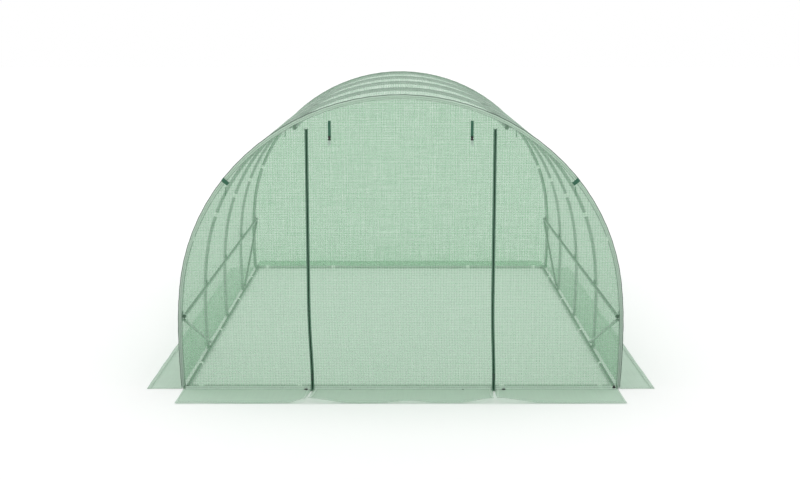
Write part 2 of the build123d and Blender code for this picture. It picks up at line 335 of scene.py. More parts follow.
def grown(name, source, group, **values):
    """A plain mesh object: what a geometry tree makes of a source object, which is then removed."""
    modifier = source.modifiers.new("tree", "NODES")
    modifier.node_group = group
    for item in group.interface.items_tree:
        if item.in_out == "INPUT" and item.name in values:
            modifier[item.identifier] = values[item.name]
    ready = source.evaluated_get(bpy.context.evaluated_depsgraph_get())
    mesh = bpy.data.meshes.new_from_object(ready)
    mesh.name = name
    bpy.data.objects.remove(source)
    return placed(name, mesh)


def settle(piece):
    """Says that a finished piece rides on the tunnel."""
    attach(piece, "root")


def middle(node):
    low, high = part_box(node)
    return (low + high) / 2


hoop_places = sorted(middle(f"hoop_{n}_crown").y for n in range(1, 6))
hoop_low, hoop_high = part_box("hoop_1_crown")
tube_radius = (hoop_high.y - hoop_low.y) / 2
hoop_inset = tunnel_height - hoop_high.z + tube_radius
purlin_inset = hoop_inset + 2 * tube_radius + 0.0003
clip_foot_inset = purlin_inset - 0.0102
clip_reach = 0.0242
brace_end_inset = purlin_inset + 0.0199
brace_end_reach, brace_end_aside = 0.0345, 0.012
brace_foot_run = run_to(0.052, hoop_inset + 0.0228)
brace_foot_inset = hoop_inset + 0.0326
screw_places, screw_outwards = [], []


def screw_at(run, inset, y):
    x, z, lean = over_arch(run, inset)
    screw_places.append((float(x), y, float(z)))
    screw_outwards.append((-sin(lean), 0.0, -cos(lean)))


side_run = run_to(middle("side_purlin_right").z, purlin_inset)
shoulder_run = run_to(middle("shoulder_purlin_right").z, purlin_inset)
for side in (-1, 1):
    for y in hoop_places:
        clip_runs = [side_run - clip_reach, shoulder_run - clip_reach, shoulder_run + clip_reach]
        if y in hoop_places[1:-1]:
            clip_runs.append(side_run + clip_reach)
        for run in clip_runs:
            screw_at(side * run, clip_foot_inset, y)
    for end, after, inward in ((0, 1, 1), (-1, -2, -1)):
        y = hoop_places[end] + inward * brace_end_aside
        screw_at(side * (side_run + brace_end_reach), brace_end_inset, y)
        screw_at(side * brace_foot_run, brace_foot_inset, hoop_places[after])
fixing = screw_group()
screws = grown("frame_screws", line_object("marks", screw_places, screw_outwards), fixing, Finish=plated)
settle(screws)

# Brace plugs: steel discs pressed into both ends of each brace, just inside the tube. A
# brace's mesh has points only round its two ends, so their middles are where its axis ends.
brace_rims = np.array([point.co for point in frame["nodes"]["braces"].data.vertices])
one_brace = brace_rims[(brace_rims[:, :2] < 0).all(1)]
upper = one_brace[:, 2] > middle("braces").z
brace_top, brace_foot = one_brace[upper].mean(0), one_brace[~upper].mean(0)
down_brace = (brace_foot - brace_top) / np.linalg.norm(brace_foot - brace_top)
plug_depth = 0.002
plug_places, plug_outwards = [], []
for mirror in product((1, -1), (1, -1), (1,)):
    for end, outward in ((brace_top, -down_brace), (brace_foot, down_brace)):
        plug_places.append((end - outward * plug_depth) * mirror)
        plug_outwards.append(outward * mirror)
disc = {"Washer": 0.0177, "Thickness": 0.0030, "Head": 0.0060, "Height": 0.0020}
marks = line_object("marks", plug_places, plug_outwards)
plugs = grown("brace_plugs", marks, fixing, Finish=zinc_tube, **disc)
settle(plugs)

# Cover cloth: mint-green polyethylene, woven from flat tapes, laminated, and crossed by a
# square mesh of thicker threads that stops tears. Light comes through it, tinted.


def ripstop_group():
    """Threads, streaks and height of the cloth, from its own flat measure in metres."""
    inputs = {"Flat": "Vector", "Square": 0.018, "Thread": 0.0034, "Tape": 0.0024}
    group, given, ends = node_group("Shader", "ripstop_weave", inputs, ("Threads", "Streaks", "Height"))
    flat = add(group, "ShaderNodeSeparateXYZ", given["Flat"]).outputs
    half_square = maths("MULTIPLY", given["Square"], 0.5)
    half_thread = maths("MULTIPLY", given["Thread"], 0.5)
    threads, streaks, ribs = [], [], []
    for along, across in ((0, 1), (1, 0)):
        off_line = maths("PINGPONG", flat[across], half_square)
        mask = maths("SUBTRACT", 1.0, maths("DIVIDE", off_line, half_thread))
        threads.append(maths("MAXIMUM", mask, 0.0))
        fine = maths("DIVIDE", flat[across], maths("MULTIPLY", given["Square"], 0.42))
        coarse = maths("MULTIPLY", flat[along], 3.5)
        streak_place = add(group, "ShaderNodeCombineXYZ", fine, coarse, along * 7.0).outputs[0]
        streaks.append(cloud(streak_place, 1.0, 2.0, 0.6))
        wave = maths("DIVIDE", flat[across], maths("DIVIDE", given["Tape"], tau))
        ribs.append(maths("SINE", wave))
    over_under = maths("MULTIPLY", *ribs)
    raised = maths("MAXIMUM", *threads)
    streaks = maths("MULTIPLY", maths("ADD", *streaks), 0.5)
    wire(ends, Threads=raised, Streaks=streaks, Height=maths("MULTIPLY_ADD", over_under, 0.12, raised))
    return group


ripstop_weave = ripstop_group()
haze = (0.94, 0.95, 0.94, 1)


def woven_cloth(
    name, plain, thread, slub, shades, through=0.5, low_shade=0.0, skirt=0.0, dust=0.32, square=0.018
):
    """Cover cloth of two shades. plain is how much of the view the laminate hides, thread and
    slub what the mesh and the uneven tapes add to it, and through how much light it passes on.
    The share after through is a painted shade on the lower part, which greys it and hides more of
    the view, most at the bottom and gone 1.5 m up; skirt is what the part on the ground hides
    more than the rest, dust what lies on it, and square the width of the mesh."""
    tree, shader, made = finish_of(name, IOR=1.45)
    flat = coordinates(tree, "UV")
    woven = add(tree, "ShaderNodeGroup", flat, square, node_tree=ripstop_weave).outputs
    laid = add(tree, "ShaderNodeAttribute", attribute_name="laid").outputs["Fac"]
    uneven = maths("SUBTRACT", woven["Streaks"], 0.5)
    patches = maths("SUBTRACT", cloud(flat, 2.3, 4.0), 0.5)
    tone = maths("MULTIPLY_ADD", patches, 0.4, 0.5)
    tone = maths("MULTIPLY_ADD", uneven, 1.6, tone)
    colour = blend(between(tone, 0.0, 1.0, 0.0, 1.0), *shades)
    # Painted shade: the lower part is greyed and hides more of the view, most at the bottom and gone at 1.5
    # m up.
    painted_low_shade = between(height_of(coordinates(tree)), 0.1, 1.5, low_shade, 0.0)
    colour = blend(painted_low_shade, colour, (0.29, 0.375, 0.315, 1))
    flattened = maths("MULTIPLY_ADD", laid, -0.7, 1.0)
    hidden = maths("MULTIPLY", woven["Threads"], thread)
    hidden = maths("MULTIPLY_ADD", uneven, slub, hidden)
    hidden = maths("MULTIPLY_ADD", hidden, flattened, plain)
    for mask, share in ((patches, 0.05), (painted_low_shade, 0.35), (laid, skirt)):
        hidden = maths("MULTIPLY_ADD", mask, share, hidden)
    hidden = add(tree, "ShaderNodeClamp", hidden).outputs[0]
    roughness = between(woven["Threads"], 0.0, 1.0, 0.42, 0.58)
    wire(shader, Base_Color=colour, Roughness=roughness, Normal=bump(woven["Height"], 0.0004))
    glow = add(tree, "ShaderNodeBsdfTranslucent", colour)
    lit = add(tree, "ShaderNodeMixShader", through, shader.outputs[0], glow.outputs[0])
    inside = add(tree, "ShaderNodeNewGeometry").outputs["Backfacing"]
    low_angle = add(tree, "ShaderNodeLayerWeight", 0.5).outputs["Facing"]
    inner = maths("MULTIPLY", inside, between(low_angle, 0.60, 1.0, 0.0, 0.8))
    outer = maths("SUBTRACT", 1.0, inside)
    sheen = maths("MULTIPLY_ADD", outer, between(low_angle, 0.84, 1.0, 0.0, 0.12), inner)
    milky = maths("MULTIPLY_ADD", laid, dust, sheen)
    clear = add(tree, "ShaderNodeBsdfTransparent", (0.90, 0.95, 0.91, 1))
    milk = add(tree, "ShaderNodeBsdfDiffuse", haze)
    milk_glow = add(tree, "ShaderNodeBsdfTranslucent", haze)
    laminate = add(tree, "ShaderNodeMixShader", 0.5, milk.outputs[0], milk_glow.outputs[0])
    settled = add(tree, "ShaderNodeMixShader", milky, clear.outputs[0], laminate.outputs[0])
    shown = add(tree, "ShaderNodeMixShader", hidden, settled.outputs[0], lit.outputs[0])
    wire(tree.nodes["Material Output"], Surface=shown.outputs[0])
    return made


mint = ((0.175, 0.42, 0.23, 1), (0.28, 0.55, 0.345, 1))
worn_mint = ((0.225, 0.43, 0.275, 1), (0.33, 0.555, 0.39, 1))
hem_mint = ((0.68, 0.79, 0.71, 1), (0.76, 0.87, 0.79, 1))
edge_mint = ((0.58, 0.78, 0.62, 1), (0.67, 0.87, 0.71, 1))
foot_mint = ((0.65, 0.85, 0.70, 1), (0.74, 0.94, 0.79, 1))
front_cloth = woven_cloth("front_cloth", 0.365, 0.23, 0.50, mint, low_shade=0.13, skirt=-0.07)
cover_cloth = woven_cloth("cover_cloth", 0.22, 0.36, 0.60, worn_mint, skirt=0.10)
back_cloth = woven_cloth("back_cloth", 0.27, 0.66, 1.05, mint, skirt=-0.10, dust=0.60, square=0.024)
hem_cloth = woven_cloth("hem_cloth", 0.50, 0.2, 0.5, hem_mint, 0.2)
foot_cloth = woven_cloth("foot_cloth", 0.76, 0.1, 0.3, foot_mint, 0.1)
edge_cloth = woven_cloth("edge_cloth", 0.82, 0.1, 0.3, edge_mint, 0.1, 0.72)
back_edge_cloth = woven_cloth("back_edge_cloth", 0.40, 0.1, 0.3, edge_mint, 0.6)


def smooth(value, low, high):
    """From 0 at low to 1 at high, smoothly."""
    share = np.clip((value - low) / (high - low), 0.0, 1.0)
    return share * share * (3 - 2 * share)


def ripple(a, b, scale, seed):
    """Smooth unevenness from about -1 to 1, over two flat measures."""
    a, b = np.broadcast_arrays(a, b)
    made = [noise.noise(Vector((p * scale, q * scale, seed))) for p, q in zip(a.flat, b.flat)]
    return np.reshape(made, a.shape) * 1.6


def sheet_object(name, points, flat, faces, material):
    """An object with a mesh of points and faces, and its flat measure as its UV map."""
    mesh = bpy.data.meshes.new(name)
    mesh.from_pydata(points.tolist(), [], faces)
    layer = mesh.uv_layers.new(name="flat")
    corners = np.empty(len(mesh.loops), int)
    mesh.loops.foreach_get("vertex_index", corners)
    layer.data.foreach_set("uv", flat[corners].ravel())
    mesh.shade_smooth()
    mesh.materials.append(material)
    return placed(name, mesh)


def mark_laid(sheet, share):
    """Notes on a sheet how far each point lies on the ground, from 0 to 1."""
    stored = sheet.data.attributes.new("laid", "FLOAT", "POINT")
    stored.data.foreach_set("value", np.asarray(share, float).ravel())


def grid_faces(rows, columns, flipped=False):
    """Four-sided faces of a grid of points, row by row."""
    first = np.arange(rows - 1)[:, None] * columns + np.arange(columns - 1)
    corners = (first, first + columns, first + columns + 1, first + 1)
    return np.stack(corners[::-1] if flipped else corners, -1).reshape(-1, 4).tolist()


# Main cover: one sheet, from the left skirt over the five hoops to the right skirt. It is
# pulled tight on the hoops, sinks a little between them, and turns over the end hoops.
cloth_inset = 0.0026
ground_gap = 0.0015
fold_radius = 0.012
fold_run = run_to(ground_gap + fold_radius, cloth_inset)
fold_lean = float(over_arch(fold_run, cloth_inset)[2])
fold_end = fold_run + fold_radius * fold_lean
hoop_gap = hoop_places[1] - hoop_places[0]
end_hoop = hoop_places[-1]
tunnel_half = -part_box("door_panel")[0].y
wrap_radius = hoop_inset - cloth_inset
wrap_end = end_hoop + wrap_radius * pi / 2 + 0.006
crease_runs = (0.62, 1.27, 1.91, 2.295)


def cover(run, along, lift=0.0):
    """Places on the main cover, by distance from the crown and along the tunnel."""
    run, along, lift = np.broadcast_arrays(*(np.asarray(v, float) for v in (run, along, lift)))
    side, out = np.where(run < 0, -1.0, 1.0), np.abs(run)
    x, z, lean = (np.abs(v) for v in over_arch(np.minimum(out, fold_run), cloth_inset))
    folding = out > fold_run
    turned = np.where(folding, np.clip(fold_lean - (out - fold_run) / fold_radius, 0, fold_lean), lean)
    centre_x, centre_z = x + fold_radius * np.sin(lean), z + fold_radius * np.cos(lean)
    flat_x = centre_x - fold_radius * np.sin(turned) + np.maximum(out - fold_end, 0)
    x = np.where(folding, flat_x, x)
    z = np.where(folding, centre_z - fold_radius * np.cos(turned), z)
    on_arch = 1 - smooth(out, fold_run - 0.02, fold_end)

    place = np.abs(along)
    past = np.clip(place - end_hoop, 0, None)
    wrapped = np.minimum(past / wrap_radius, pi / 2)
    beyond = np.maximum(past - wrap_radius * pi / 2, 0)
    sink = wrap_radius - (wrap_radius + lift) * np.cos(wrapped) + beyond
    turned_y = np.where(past > 0, end_hoop + (wrap_radius + lift) * np.sin(wrapped), place)
    flat_y = np.interp(place, (0, end_hoop, wrap_end), (0, end_hoop, tunnel_half))
    y = np.sign(along) * (turned_y * on_arch + flat_y * (1 - on_arch))

    bay = np.mod(along - hoop_places[0], hoop_gap) / hoop_gap
    slack = 4 * bay * (1 - bay) * (past <= 0)
    near_hoop = np.exp(-np.minimum(bay, 1 - bay) * hoop_gap / 0.09)
    sag = slack * (0.005 + 0.006 * (1 - smooth(out, 0.6, 2.0)))
    sag = sag * (1 + 0.35 * ripple(run, along, 2.1, 3.0))
    puckers = 0.0007 * near_hoop * (1 + np.sin(run * tau / 0.105 + 2.0 * ripple(run, along, 1.0, 8.0)))
    creases = sum(np.exp(-np.abs(out - at) / 0.006) for at in crease_runs)
    creases = 0.0018 * creases * slack * (0.5 + 0.5 * ripple(run, along, 3.0, 11.0))
    gathers = 0.004 * smooth(out, 2.4, 2.75) * slack * ripple(along * 2.6, run * 0.4, 1.0, 5.0)
    laid = smooth(out, fold_end, fold_end + 0.12)
    waves = 0.006 * laid * (1 + ripple(along, run, 3.2, 14.0)) * (1 - 0.7 * smooth(place, 1.85, 2.0))
    rise = (puckers + creases + gathers - sag - sink) * on_arch + (waves + lift) * (1 - on_arch)
    return np.stack((side * (x + rise * np.sin(turned)), y, z + rise * np.cos(turned)), -1)


arch_step, bay_step = 0.024, 0.03
skirt_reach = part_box("side_skirt_right")[1].x - float(cover(fold_end, 0.0)[0])
half_runs = np.r_[
    np.linspace(0, fold_run - 0.01, round(fold_run / arch_step)),
    np.linspace(fold_run, fold_end, 9),
    np.linspace(fold_end, fold_end + skirt_reach, 14)[1:],
]
runs = np.r_[-half_runs[:0:-1], half_runs]
half_places = np.r_[
    np.linspace(0, end_hoop, round(end_hoop / bay_step)), np.linspace(end_hoop, wrap_end, 8)[1:]
]
places = np.r_[-half_places[:0:-1], half_places]
flat = np.stack(np.meshgrid(runs, places, indexing="ij"), -1).reshape(-1, 2)
faces = grid_faces(len(runs), len(places))
arch_sheet = sheet_object("cover_sheet", cover(*flat.T), flat, faces, cover_cloth)
mark_laid(arch_sheet, smooth(np.abs(flat[:, 0]), fold_run - 0.03, fold_end + 0.02))
settle(arch_sheet)
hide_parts("cover_arch", "side_skirt_left", "side_skirt_right")

# Front wall: one sheet with two slits for the zips, so that the door between them can be
# rolled up. Its foot turns forward on the ground as a skirt in three pieces.
wall_inset = 0.012
wall_y = tunnel_half - 0.0015
zip_x = middle("zip_right").x
zip_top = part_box("zip_right")[1].z
wall_fold_radius = 0.008
wall_fold = ground_gap + wall_fold_radius
wall_fold_end = wall_fold - wall_fold_radius * pi / 2
skirt_depth = -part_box("front_skirt_right")[0].y - wall_y
skirt_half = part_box("front_skirt_right")[1].x
skirt_edge = wall_fold_end - (skirt_depth - wall_fold_radius)
outline_runs = np.linspace(0, run_to(wall_fold, wall_inset), 200)
outline_x, outline_z, _ = over_arch(outline_runs, wall_inset)


def slit_half(down):
    """Half the width of a slit: the zip's teeth above, and wider apart down the skirt."""
    return 0.0035 + 0.0085 * (1 - smooth(down, skirt_edge, wall_fold_end - 0.03))


zip_drift = {-1: 0.0175, 1: 0.0145}


def drift(x, height):
    """How far the hanging cloth has slipped sideways, most at the foot of the zips."""
    share = np.interp(x, (-1.45, -zip_x, zip_x, 1.45), (0, zip_drift[-1], zip_drift[1], 0))
    return share * (1 - smooth(height, 0.05, 0.78)) ** 2


def skirt_lift(x):
    """How far the front skirt's outer edge stands off the ground."""
    outer_left = 0.034 * (1 - smooth(-x - zip_x, 0.0, 0.13)) * (x < -zip_x)
    door_left = 0.037 * (1 - smooth(x + zip_x, 0.0, 0.30)) * (x >= -zip_x) * (x < 0)
    middle_bump = 0.011 * np.exp(-(((x - 0.06) / 0.13) ** 2))
    door_right = 0.036 * (1 - smooth(zip_x - x, 0.0, 0.26)) * (x < zip_x) * (x > 0)
    outer_right = 0.039 * (1 - smooth(x - zip_x, 0.0, 0.31)) * (x >= zip_x)
    return outer_left + door_left + middle_bump + door_right + outer_right + 0.002 * (1 + np.sin(x * 9 + 1))


def end_wall(x, down, lift, facing, lifted, zipped):
    """Places on an end wall, by distance across and height on the flat cloth."""
    x, down, lift = np.broadcast_arrays(*(np.asarray(v, float) for v in (x, down, lift)))
    turn = np.clip((wall_fold - down) / wall_fold_radius, 0, pi / 2)
    ahead = np.maximum(wall_fold_end - down, 0)
    y = wall_y + wall_fold_radius * (1 - np.cos(turn)) + ahead
    z = np.where(down > wall_fold, down, wall_fold - wall_fold_radius * np.sin(turn))
    share = np.clip(ahead / skirt_depth, 0, 1)
    raised = lifted(x) * share**1.6 + 0.0025 * share * (1 + ripple(x, down, 4.0, 21.0))
    half_width = np.interp(down, outline_z[::-1], outline_x[::-1])
    from_edge = smooth(half_width - np.abs(x), 0.02, 0.3)
    hung = smooth(down, 0.03, 0.25) * (1 - smooth(down, 1.35, 1.75)) * from_edge
    billow = 0.003 * hung * (1 + ripple(x * 2.2, down * 0.5, 1.0, 24.0 + facing))
    by_zip = sum(np.exp(-np.abs(x - s * zip_x) / 0.045) for s in (-1, 1)) * (down < zip_top + 0.05)
    pucker = 0.0012 * by_zip * (1 + np.sin(down * tau / 0.085 + 3 * ripple(x, down, 2.0, 27.0))) * zipped
    rise = (billow + pucker) * smooth(down, 0.01, 0.06) + lift
    x = x + drift(x, z) * zipped * (1 - share)
    return np.stack((x, facing * (y + rise * np.cos(turn)), z + raised + rise * np.sin(turn)), -1)


def front(x, down, lift=0.0):
    return end_wall(x, down, lift, -1, skirt_lift, 1.0)


def back(x, down, lift=0.0):
    return end_wall(x, down, lift, 1, lambda x: 0.002 * (1 + np.sin(x * 5)), 0.0)


def end_cut(step):
    """Outline of an end wall with its skirt, as cut, anticlockwise from the skirt's left corner."""
    foot = run_to(wall_fold, wall_inset)
    x, z, _ = over_arch(np.linspace(foot, -foot, round(2 * foot / step)), wall_inset)
    across = np.linspace(-skirt_half, skirt_half, round(2 * skirt_half / step))
    up = np.linspace(skirt_edge, wall_fold_end, round((wall_fold_end - skirt_edge) / step) + 1)
    outline = [(a, skirt_edge) for a in across] + [(skirt_half, b) for b in up[1:]]
    return outline + list(zip(x.tolist(), z.tolist())) + [(-skirt_half, b) for b in up[:0:-1]]


def cut_sheet(step, slits):
    """Flat points and triangles of an end wall's cloth, with edges along its slits."""
    outline = end_cut(step)
    xs = np.arange(step / 2, 1.55, step)
    rows = np.r_[
        np.linspace(skirt_edge, wall_fold_end, 16)[1:],
        np.linspace(wall_fold_end, wall_fold, 6)[1:],
        np.arange(wall_fold + step, tunnel_height, step),
    ]
    grid = np.stack(np.meshgrid(np.r_[-xs[::-1], xs], rows), -1).reshape(-1, 2)
    ring = np.array(outline)
    keep = np.ones(len(grid), bool)
    for start in range(0, len(ring), 40):
        gap = np.linalg.norm(grid[:, None] - ring[None, start : start + 40], axis=2).min(1)
        keep &= gap > 0.6 * step
    for x, _ in slits:
        keep &= np.abs(grid[:, 0] - x) > 0.45 * step
    points = [Vector(p) for p in outline] + [Vector(p) for p in grid[keep]]
    edges = []
    for x, top in slits:
        first = len(points)
        spots = [skirt_edge + 0.0004, *rows[rows < top - 0.3 * step], top]
        points += [Vector((x, spot)) for spot in spots]
        edges += [(n, n + 1) for n in range(first, len(points) - 1)]
    made = delaunay_2d_cdt(points, edges, [list(range(len(outline)))], 1, 1e-6)
    return np.array([tuple(v) for v in made[0]]), [list(f) for f in made[2]]


def part_slits(flat, faces, slits):
    """Parts the cloth along its slits, and moves each lip away by half the width of the teeth."""
    middles = [flat[f].mean(0)[0] for f in faces]
    moved, points, cut = {}, flat.tolist(), [list(f) for f in faces]
    for x, top in slits:
        near_line = (np.abs(flat[:, 0] - x) < 1e-5) & (flat[:, 1] < top - 1e-5)
        on_slit = set(np.flatnonzero(near_line).tolist())
        for number, face in enumerate(faces):
            right = middles[number] > x
            for corner, vertex in enumerate(face):
                if vertex in on_slit:
                    if (vertex, right) not in moved:
                        moved[vertex, right] = len(points)
                        down = flat[vertex][1]
                        points.append([x + slit_half(down) * (1 if right else -1), down])
                    cut[number][corner] = moved[vertex, right]
    used = sorted({v for f in cut for v in f})
    renumber = {v: n for n, v in enumerate(used)}
    return np.array(points)[used], [[renumber[v] for v in f] for f in cut]


cut_step = 0.02
slits = [(-zip_x, zip_top), (zip_x, zip_top)]
laid_from, laid_to = wall_fold_end - 0.02, wall_fold + 0.02
flat, faces = part_slits(*cut_sheet(cut_step, slits), slits)
front_sheet = sheet_object("front_sheet", front(*flat.T), flat, faces, front_cloth)
mark_laid(front_sheet, 1 - smooth(flat[:, 1], laid_from, laid_to))
settle(front_sheet)
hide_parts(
    *("front_header", "front_panel_left", "front_panel_right"),
    *("door_panel", "door_skirt", "front_skirt_left", "front_skirt_right"),
)

# Back wall: the same cut in one plain sheet, with no door and no slits, held by the last
# hoop. Its foot turns back on the ground as one skirt.
flat, faces = cut_sheet(cut_step, [])
back_sheet = sheet_object("back_sheet", back(*flat.T), flat, [f[::-1] for f in faces], back_cloth)
mark_laid(back_sheet, 1 - smooth(flat[:, 1], laid_from, laid_to))
settle(back_sheet)
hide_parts("back_wall", "back_skirt")

# Hems: each free edge of the skirts is folded over once, and a doubled strip of the same
# cloth binds the cover's two ends to the end walls round the end hoops.


def strip(name, on, track, lines, material, flipped=False):
    """A strip of cloth along a track in flat measure, whose lines across it each have an offset
    and a lift."""
    offsets = np.array([a for a, _ in lines], float)
    lifts = np.array([b for _, b in lines], float)
    flat = np.asarray(track)[:, None] + offsets
    points = on(flat[..., 0], flat[..., 1], np.broadcast_to(lifts, flat.shape[:2]))
    faces = grid_faces(len(track), len(lines), flipped)
    return sheet_object(name, points.reshape(-1, 3), flat.reshape(-1, 2), faces, material)


def lofted(name, rings, material, flipped=False):
    """A closed body over rings of points."""
    rings = np.array(rings, float)
    rings = rings[:, ::-1] if flipped else rings
    count, around = rings.shape[:2]
    mesh = bpy.data.meshes.new(name)
    band = [(n, (n + 1) % around, (n + 1) % around + around, n + around) for n in range(around)]
    faces = [tuple(r * around + c for c in corners) for r in range(count - 1) for corners in band]
    faces += [tuple(range(around))[::-1], tuple(range((count - 1) * around, count * around))]
    mesh.from_pydata(rings.reshape(-1, 3).tolist(), [], faces)
    mesh.shade_smooth()
    mesh.materials.append(material)
    return placed(name, mesh)


def steps(start, end, step=0.02):
    """Points between two flat places."""
    start, end = np.array(start, float), np.array(end, float)
    count = max(3, round(np.linalg.norm(end - start) / step) + 1)
    return start + (end - start) * np.linspace(0, 1, count)[:, None]


def level_line(level, low, high, step=0.02):
    """Points along the first flat measure, at one level of the second."""
    return steps((low, level), (high, level), step)


def upright_line(x, low, high):
    return steps((x, low), (x, high))


def folded(inward, width, thickness=0.0011):
    """Lines across a folded hem, from under the edge over the cloth to the hem's inner edge."""
    inward = np.array(inward, float)
    lines = ((0.0, -0.0005), (-0.0009, thickness / 2), (0.0, thickness))
    lines += ((width / 2, thickness + 0.0002), (width - 0.001, thickness), (width, 0.0003))
    return [(inward * a, b) for a, b in lines]


def in_three(half, gap):
    """The front's width in three named parts, each ending at a gap from a zip's middle."""
    return ("left", -half, -zip_x - gap), ("door", gap - zip_x, zip_x - gap), ("right", zip_x + gap, half)


hem_width, side_end_hem, skirt_end_hem = 0.030, 0.024, 0.012
front_pieces, back_pieces, cover_pieces = [], [], []
skirt_run = half_runs[-1]
sides = ((-1, "left"), (1, "right"))
for side, label in sides:
    track = upright_line(side * skirt_run, -wrap_end, wrap_end)
    lines = folded((-side, 0), hem_width)
    cover_pieces.append(strip(f"side_hem_{label}", cover, track, lines, hem_cloth, side < 0))
    for facing, end in ((-1, "front"), (1, "back")):
        track = level_line(facing * wrap_end, side * (fold_end + 0.004), side * skirt_run)
        lines = folded((0, -facing), side_end_hem)
        name = f"side_hem_{label}_{end}"
        cover_pieces.append(strip(name, cover, track, lines, hem_cloth, side * facing > 0))


def spun(name, scale, dark, light):
    """Finish of a twisted cord or thread of two shades, with its fibres in patches a metre."""
    tree, shader, made = finish_of(name, Roughness=0.6)
    fibres = cloud(coordinates(tree), scale)
    wire(shader, Base_Color=blend(fibres, dark, light), Normal=bump(fibres, 0.0002))
    return made


binding_lift, binding_front = 0.0012, 0.0027
quarter = wrap_radius * pi / 2
binding_ways = np.r_[
    (-0.0355, -0.0350, -0.0280, -0.0150),
    np.linspace(0, quarter, 8),
    (quarter + 0.0045, quarter + 0.0078, quarter + 0.0084),
]
binding_lifts = np.interp(binding_ways, (0.5 * quarter, quarter), (binding_lift, binding_front))
binding_lifts[[0, -1]] = 0.0003, binding_front - 0.0009
# A piping cord runs along each end of the cover, made dark so that it also paints the shade line along the
# cover's edge.
piping_way, piping_radius = wrap_radius * radians(27), 0.0023
edge_shade_piping = spun("edge_shade_piping", 500.0, (0.06, 0.10, 0.075, 1), (0.11, 0.16, 0.125, 1))
for facing, name, pieces, binding_cloth in (
    (-1, "front_binding", front_pieces, edge_cloth),
    (1, "back_binding", back_pieces, back_edge_cloth),
):
    track = level_line(facing * end_hoop, -fold_run - 0.004, fold_run + 0.004)
    lines = [((0, facing * way), lift) for way, lift in zip(binding_ways, binding_lifts)]
    pieces.append(strip(name, cover, track, lines, binding_cloth, facing < 0))
    rings = []
    for run in np.linspace(-fold_run, fold_run, 230):
        around = np.arange(8) * tau / 8
        ways = facing * (end_hoop + piping_way + piping_radius * np.cos(around))
        rings.append(cover(run, ways, binding_lift + piping_radius * (0.5 + np.sin(around))))
    pieces.append(lofted(f"{name}_piping", rings, edge_shade_piping, facing > 0))

skirt_hem = folded((0, 1), hem_width)
for part, low, high in in_three(skirt_half, slit_half(skirt_edge)):
    name = f"front_hem_{part}"
    track = level_line(skirt_edge, low, high)
    front_pieces.append(strip(name, front, track, skirt_hem, hem_cloth, True))
    for x, inward, end in ((low, 1, "start"), (high, -1, "end")):
        track = upright_line(x, skirt_edge, wall_fold_end)
        if abs(x) < skirt_half:
            track[:, 0] -= inward * (slit_half(track[:, 1]) - slit_half(skirt_edge))
        lines = folded((inward, 0), skirt_end_hem)
        front_pieces.append(strip(f"{name}_{end}", front, track, lines, hem_cloth, inward < 0))
track = level_line(skirt_edge, -skirt_half, skirt_half)
back_pieces.append(strip("back_hem", back, track, skirt_hem, hem_cloth))
for inward, label in ((-1, "right"), (1, "left")):
    track = upright_line(-inward * skirt_half, skirt_edge, wall_fold_end)
    lines = folded((inward, 0), skirt_end_hem)
    back_pieces.append(strip(f"back_hem_{label}", back, track, lines, hem_cloth, inward > 0))

band_half, band_gap, band_foot = 1.470, 0.013, wall_fold_end - 0.002
band_lines = ((0.0, 0.0003), (0.001, 0.0012), (0.013, 0.0012), (0.0255, 0.0012), (0.0265, 0.0003))
band_lines = [((0, way), lift) for way, lift in band_lines]
for part, low, high in in_three(band_half, band_gap):
    track = level_line(band_foot, low, high)
    front_pieces.append(strip(f"foot_band_{part}", front, track, band_lines, foot_cloth, True))
track = level_line(band_foot, -band_half, band_half)
back_pieces.append(strip("foot_band_back", back, track, band_lines, foot_cloth))

# Stitching: green polyester thread in straight rows along every hem and binding, and
# across the wall where the skirts are sewn on.
thread_finish = spun("green_thread", 900.0, (0.035, 0.10, 0.062, 1), (0.07, 0.17, 0.11, 1))


def bead_group():
    """Small rounded bodies set along lines: stitches, or the teeth of a zip."""
    sizes = {"Pitch": 0.008, "Length": 0.006, "Width": 0.0013, "Height": 0.0008}
    group, given, ends = growing_group("beads_on_lines", **sizes)
    curve = add(group, "GeometryNodeMeshToCurve", given["Geometry"])
    spaced = add(group, "GeometryNodeResampleCurve", curve.outputs[0], mode="LENGTH")
    wire(spaced, Length=given["Pitch"])
    bead = add(group, "GeometryNodeMeshUVSphere", 6, 4, 0.5).outputs["Mesh"]
    size = add(group, "ShaderNodeCombineXYZ", given["Length"], given["Width"], given["Height"])
    tangent = add(group, "GeometryNodeInputTangent").outputs[0]
    stand(bead, spaced.outputs[0], given, ends, tangent, size.outputs[0])
    return group


beads = bead_group()


def beaded(name, rows, **values):
    """Beads along rows. A row is what it lies on, its line in flat measure, and its lift."""
    places, outwards, edges = [], [], []
    for on, track, lift in rows:
        first = len(places)
        low, high = on(*np.transpose(track), lift), on(*np.transpose(track), lift + 0.01)
        places += low.tolist()
        outwards += (high - low).tolist()
        edges += [(n, n + 1) for n in range(first, len(places) - 1)]
    return grown(name, line_object("rows", places, outwards, edges), beads, **values)


hem_top, seam_top, thread_lift = 0.0015, 0.0006, 0.0004
hem_rows, slit_margin = (0.006, hem_width - 0.005), 0.003
wall_seams = ((wall_fold_end - 0.008, skirt_half, seam_top), (wall_fold + 0.003, band_half, hem_top))
binding_seams = [(quarter + past, binding_front) for past in (-0.0025, 0.0005)]
binding_seams.insert(0, (-0.030, binding_lift))
front_rows, back_rows, cover_rows = [], [], []
for on, rows in ((front, front_rows), (back, back_rows)):
    for inset in hem_rows:
        level = skirt_edge + inset
        by_zips = in_three(skirt_half, slit_half(level) + slit_margin)
        for _, low, high in by_zips if on is front else (("whole", -skirt_half, skirt_half),):
            rows.append((on, level_line(level, low, high), hem_top))
    for level, half, top in wall_seams:
        rows.append((on, level_line(level, -half, half), top))
for facing, rows in ((-1, front_rows), (1, back_rows)):
    for way, top in binding_seams:
        track = level_line(facing * (end_hoop + way), -fold_run, fold_run)
        rows.append((cover, track, top + thread_lift))
